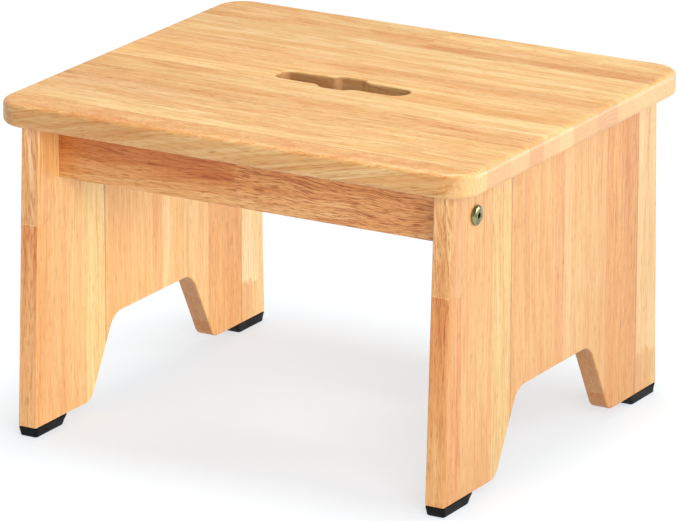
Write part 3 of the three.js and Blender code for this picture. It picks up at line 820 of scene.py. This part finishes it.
# Up the slot's wall, over its lip, out over the top, round the edge, back underneath and in at the
# slot's lower lip. A narrow strip beside each rounding keeps the flats flat.
round_over, lip, strip = 4.5 * MM, 1.6 * MM, 0.5 * MM
wall_end = lip + 0.6 * MM
side_end = round_over + 0.4 * MM
seat_rows = [slot_edge(0, z) for z in np.linspace(wall_end, seat_thick - wall_end, 5)]
for bend in np.linspace(0, 90, 5):
    drop, outset = rounded(bend)
    seat_rows.append(slot_edge(lip * outset, seat_thick - lip * drop))
inner_ring = slot_edge(lip + strip, seat_thick)
outer_ring = seat_edge(round_over + strip, seat_thick)
for t in np.linspace(0, 1, 15) ** 1.3:
    seat_rows.append(inner_ring * (1 - t) + outer_ring * t)
for bend in np.linspace(90, 0, 9):
    drop, inset = rounded(bend)
    seat_rows.append(seat_edge(round_over * inset, seat_thick - round_over * drop))
seat_rows += [seat_edge(0, z) for z in (seat_thick - side_end, seat_thick / 2, side_end)]
for bend in np.linspace(0, 90, 9):
    rise, inset = rounded(bend)
    seat_rows.append(seat_edge(round_over * inset, round_over * rise))
inner_ring, outer_ring = inner_ring * [1, 1, 0], outer_ring * [1, 1, 0]
for t in np.linspace(1, 0, 10):
    seat_rows.append(inner_ring * (1 - t) + outer_ring * t)
for bend in np.linspace(90, 0, 5):
    rise, outset = rounded(bend)
    seat_rows.append(slot_edge(lip * outset, lip * rise))
seat_rows = np.array(seat_rows) + [0, 0, seat_low.z]

seat_wood = wood(
    "seat_wood",
    "xyz",
    [
        (-165, (238, 183, 128), (241, 187, 131), None, 0.0, 0.015, -0.22, 0.45),
        (-142, (250, 212, 160), (248, 205, 149), None, 0.80, 0.010, 0.05, 0.10),
        (-130, (243, 202, 150), (246, 201, 145), None, 0.10, 0.004, 0.05, 0.45),
        (-115, (240, 193, 141), (247, 202, 145), None, 0.05, 0.004, 0.05, 0.55),
        (-100, (238, 189, 138), (245, 200, 143), None, 0.05, -0.006, 0.05, 0.65),
        (-79, (234, 184, 131), (240, 188, 131), None, 0.65, -0.010, 0.05, 0.75),
        (-65, (236, 187, 132), (242, 191, 135), None, 0.15, 0.012, 0.05, 0.75),
        (-47, (238, 192, 137), (248, 210, 158), None, 0.30, 0.006, 0.05, 0.15),
        (-33, (237, 189, 134), (250, 214, 161), None, 0.10, 0.004, 0.05, 0.12),
        (-17, (247, 201, 144), (243, 194, 136), None, 0.70, 0.008, 0.05, 0.20),
        (2, (243, 195, 138), (245, 200, 143), None, 0.05, 0.008, 0.05, 0.20),
        (20, (246, 200, 144), (242, 192, 137), None, 0.30, 0.010, 0.05, 0.50),
        (35, (242, 191, 136), (236, 183, 129), None, 0.10, 0.020, 0.05, 0.45),
        (46, (236, 183, 129), (247, 201, 145), None, 0.55, 0.020, 0.05, 0.25),
        (60, (239, 195, 141), (245, 202, 147), None, 0.10, 0.004, 0.05, 0.10),
        (80, (238, 196, 143), (245, 202, 148), None, 0.05, 0.004, 0.05, 0.10),
        (110, (235, 185, 131), (228, 172, 119), 0, 0.80, 0.010, 0.05, 0.40),
        (122, (237, 186, 132), (240, 191, 137), 0, 0.10, 0.010, 0.05, 0.50),
        (136, (238, 192, 137), (246, 204, 148), 0, 0.10, 0.006, 0.05, 0.45),
    ],
    165,
    lean=0.012,
    gain=(0.75, 0.765, 0.70),
    figure=1.9,
    fine=1.5,
    hairs=0.8,
    seed=23,
)


def slot_skin(material):
    """The slot's routed wall is darker and browner, from just under its lip."""
    tree, base, colour = coloured(material)
    x, y, z = add(tree, "SeparateXYZ", {0: add(tree, "TexCoord").outputs["Object"]}).outputs
    under = slide(tree, z, seat_high.z - 0.6 * MM, seat_high.z - 2.2 * MM)
    near_x = calc(tree, "LESS_THAN", calc(tree, "ABSOLUTE", x), slot_half_length + 3 * MM)
    near_y = calc(tree, "LESS_THAN", calc(tree, "ABSOLUTE", y), slot_half_middle + 3 * MM)
    upright = calc(tree, "SUBTRACT", 1.0, facing(tree, "z", 0.3, 0.9))
    wall = times(tree, times(tree, near_x, near_y), under, upright)
    tree.links.new(tint(tree, colour, wall, (0.68, 0.58, 0.55)), base)


slot_skin(seat_wood)

# Blocks of end grain: lower edge in millimetres, tone.
end_blocks = [
    (-164, (254, 217, 159)),
    (-135, (242, 197, 147)),
    (-101, (247, 206, 154)),
    (-74, (238, 186, 134)),
    (-53, (248, 205, 152)),
    (-30, (252, 219, 165)),
    (-10, (243, 197, 144)),
    (12, (245, 199, 148)),
    (27, (237, 188, 143)),
    (57, (248, 208, 156)),
    (84, (252, 213, 161)),
    (115, (251, 210, 160)),
]


def side_skin(material):
    """On the seat's long edges the grain runs out in slanting brown lines. On its ends each stave
    shows end grain in its own tone, with specks and with rings about its own pith."""
    tree, base, colour = coloured(material)
    place = add(tree, "TexCoord").outputs["Object"]
    x, y, z = add(tree, "SeparateXYZ", {0: place}).outputs
    long_edge = facing(tree, "y", 0.55, 0.95)
    short_edge = facing(tree, "x", 0.45, 0.85)

    wave = streaks(tree, place, (7.0, 30.0, 40.0), 2.0, 0.2, 0.8)
    bent = calc(tree, "MULTIPLY_ADD", x, 0.10, calc(tree, "MULTIPLY_ADD", wave, 8 * MM, z))
    drawn = add(tree, "CombineXYZ", {0: x, 1: y, 2: bent}).outputs[0]
    line = streaks(tree, drawn, (7.0, 120.0, 420.0), 3.0, 0.45, 0.70)
    righter = slide(tree, x, -0.15, 0.12, 0.45, 0.8)
    # The long edges are painted a little darker than the top: painted shade on faces turned from the
    # lights.
    colour = tint(tree, colour, long_edge, (0.90, 0.93, 0.92))
    colour = tint(tree, colour, times(tree, line, righter, long_edge), (0.86, 0.78, 0.70))

    # The blocks are laid out over 165 mm each way from the middle.
    half = 165
    across = calc(tree, "DIVIDE", calc(tree, "ADD", y, half * MM), 2 * half * MM)
    at = [(lower + half) / (2 * half) for lower, _ in end_blocks]
    tones = [linear(tone, (0.745, 0.67, 0.57)) for _, tone in end_blocks]
    ends = stepped(tree, across, list(zip(at, tones)))
    seeds = [(p, (0.13 * i % 1, 0.37 * i % 1, 0)) for i, p in enumerate(at)]
    moved = add(tree, "SeparateColor", {0: stepped(tree, across, seeds)}).outputs
    centre_y = calc(tree, "MULTIPLY_ADD", moved[0], 0.10, calc(tree, "SUBTRACT", y, 0.05))
    centre_z = calc(tree, "MULTIPLY_ADD", moved[1], 0.10, calc(tree, "SUBTRACT", z, 0.29))
    from_pith = add(tree, "CombineXYZ", {0: 0.0, 1: centre_y, 2: centre_z}).outputs[0]
    radius = add(tree, "VectorMath", {0: from_pith}, operation="LENGTH").outputs["Value"]
    ring = calc(tree, "MULTIPLY_ADD", calc(tree, "SINE", times(tree, radius, 1900.0)), 0.5, 0.5)
    speck = streaks(tree, place, (300.0, 1300.0, 1300.0), 1.0, 0.54, 0.70)
    ends = tint(tree, ends, times(tree, ring, 0.6), (0.92, 0.84, 0.76))
    ends = tint(tree, ends, times(tree, speck, 0.7), (0.84, 0.72, 0.62))
    tree.links.new(blend(tree, short_edge, colour, ends), base)


side_skin(seat_wood)
closed_rows("seat_board", seat_rows, seat_wood, "seat_top", ring=True)

# ------------------------------ seat screws
# Long pan-headed steel wood screws, two to a rail. They go up through counterbored holes in the
# rails and pull the seat down, so that nothing shows on top of it.

for node in sorted(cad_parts):
    if "_rail_" in node and node.endswith("_screw"):
        refinish(node, screw_steel)

# ------------------------------ floor
# A plain pale floor, far wider than the view and lit through from below like a light table, more
# strongly away from the stool.

floor_reach = 90
floor_corners = [(x * floor_reach, y * floor_reach, 0) for x, y in ((-1, -1), (1, -1), (1, 1), (-1, 1))]
floor_mesh = bpy.data.meshes.new("floor")
floor_mesh.from_pydata(floor_corners, [], [(0, 1, 2, 3)])
floor = bpy.data.objects.new("floor", floor_mesh)
bpy.context.scene.collection.objects.link(floor)
floor_paper, paper, sheet = blank("floor_paper")
sheet.inputs["Base Color"].default_value = (0.34, 0.355, 0.36, 1)
paper_place = add(paper, "TexCoord").outputs["Object"]
away = add(paper, "VectorMath", {0: paper_place}, operation="LENGTH").outputs["Value"]
glow = blend(paper, slide(paper, away, 0.45, 1.1), (0.93, 0.965, 1.0, 1), (1.08, 1.08, 1.08, 1))
paper.links.new(glow, sheet.inputs["Emission Color"])
sheet.inputs["Emission Strength"].default_value = 0.655
sheet.inputs["Roughness"].default_value = 0.9
sheet.inputs["Specular IOR Level"].default_value = 0.0
floor_mesh.materials.append(floor_paper)

# ------------------------------ light
# A white studio: an even surround that meets the floor in the same tone, a light above, two in
# front on the right and one behind on the right.

world = bpy.data.worlds.new("studio")
world.use_nodes = True
sky = world.node_tree
skyward = add(sky, "SeparateXYZ", {0: add(sky, "TexCoord").outputs["Generated"]}).outputs[2]
skyward = slide(sky, skyward, 0.01, 0.04)
surround = blend(sky, skyward, (0.84, 0.85, 0.845, 1), (0.40, 0.40, 0.40, 1))
sky.links.new(surround, sky.nodes["Background"].inputs[0])
sky.nodes["Background"].inputs[1].default_value = 1.0
bpy.context.scene.world = world


def softbox(name, place, aim, size, power, mirrored=True):
    """A square light that faces a point. One that isn't mirrored leaves no glare on the varnish."""
    light = bpy.data.lights.new(name, "AREA")
    light.shape = "SQUARE"
    light.size = size
    light.energy = power
    lamp = bpy.data.objects.new(name, light)
    bpy.context.scene.collection.objects.link(lamp)
    lamp.location = place
    lamp.visible_glossy = mirrored
    lamp.rotation_mode = "QUATERNION"
    lamp.rotation_quaternion = (Vector(aim) - Vector(place)).to_track_quat("-Z", "Y")


def toward(azimuth, elevation, distance):
    """A place round the stool, 100 mm up at no elevation: azimuth 0 in front of it and 90 to its
    right."""
    turn, rise = math.radians(azimuth), math.radians(elevation)
    flat_way = math.cos(rise) * distance
    return (math.sin(turn) * flat_way, -math.cos(turn) * flat_way, math.sin(rise) * distance + 0.1)


softbox("light_above", (0.0, 0.05, 1.7), (0, 0, 0.1), 0.7, 22.5)
softbox("light_front_right", toward(42, 25, 1.9), (0, 0, 0.12), 1.0, 20.0, mirrored=False)
softbox("light_front_low", toward(28, 3, 2.2), (0, 0, 0.12), 0.9, 6.5, mirrored=False)
softbox("light_back_right", toward(131, 6, 2.2), (0, 0, 0.12), 1.0, 28.0)

# ------------------------------ camera
# A long lens, a little above the seat and off the stool's front right corner, turned about its own
# axis by a third of a degree.

azimuth, elevation, roll = math.radians(29.69), math.radians(17.29), math.radians(0.348)
flat_share = math.cos(elevation)
back = Vector((math.sin(azimuth) * flat_share, -math.cos(azimuth) * flat_share, math.sin(elevation)))
level = Vector((math.cos(azimuth), math.sin(azimuth), 0))
upright = back.cross(level)
right = math.cos(roll) * level + math.sin(roll) * upright
up = math.cos(roll) * upright - math.sin(roll) * level
target = Vector((0.0002, 0, 0.1124)) - right * 0.0017 + up * 0.0020
distance = 4.2106
lens = bpy.data.cameras.new("camera")
lens.lens = 314.6686
lens.clip_start, lens.clip_end = 0.1, 200
camera = bpy.data.objects.new("camera", lens)
bpy.context.scene.collection.objects.link(camera)
camera.rotation_mode = "QUATERNION"
camera.rotation_quaternion = Matrix((right, up, back)).transposed().to_quaternion()
camera.location = target + back * distance
bpy.context.scene.camera = camera
bpy.context.scene.view_settings.view_transform = "Standard"
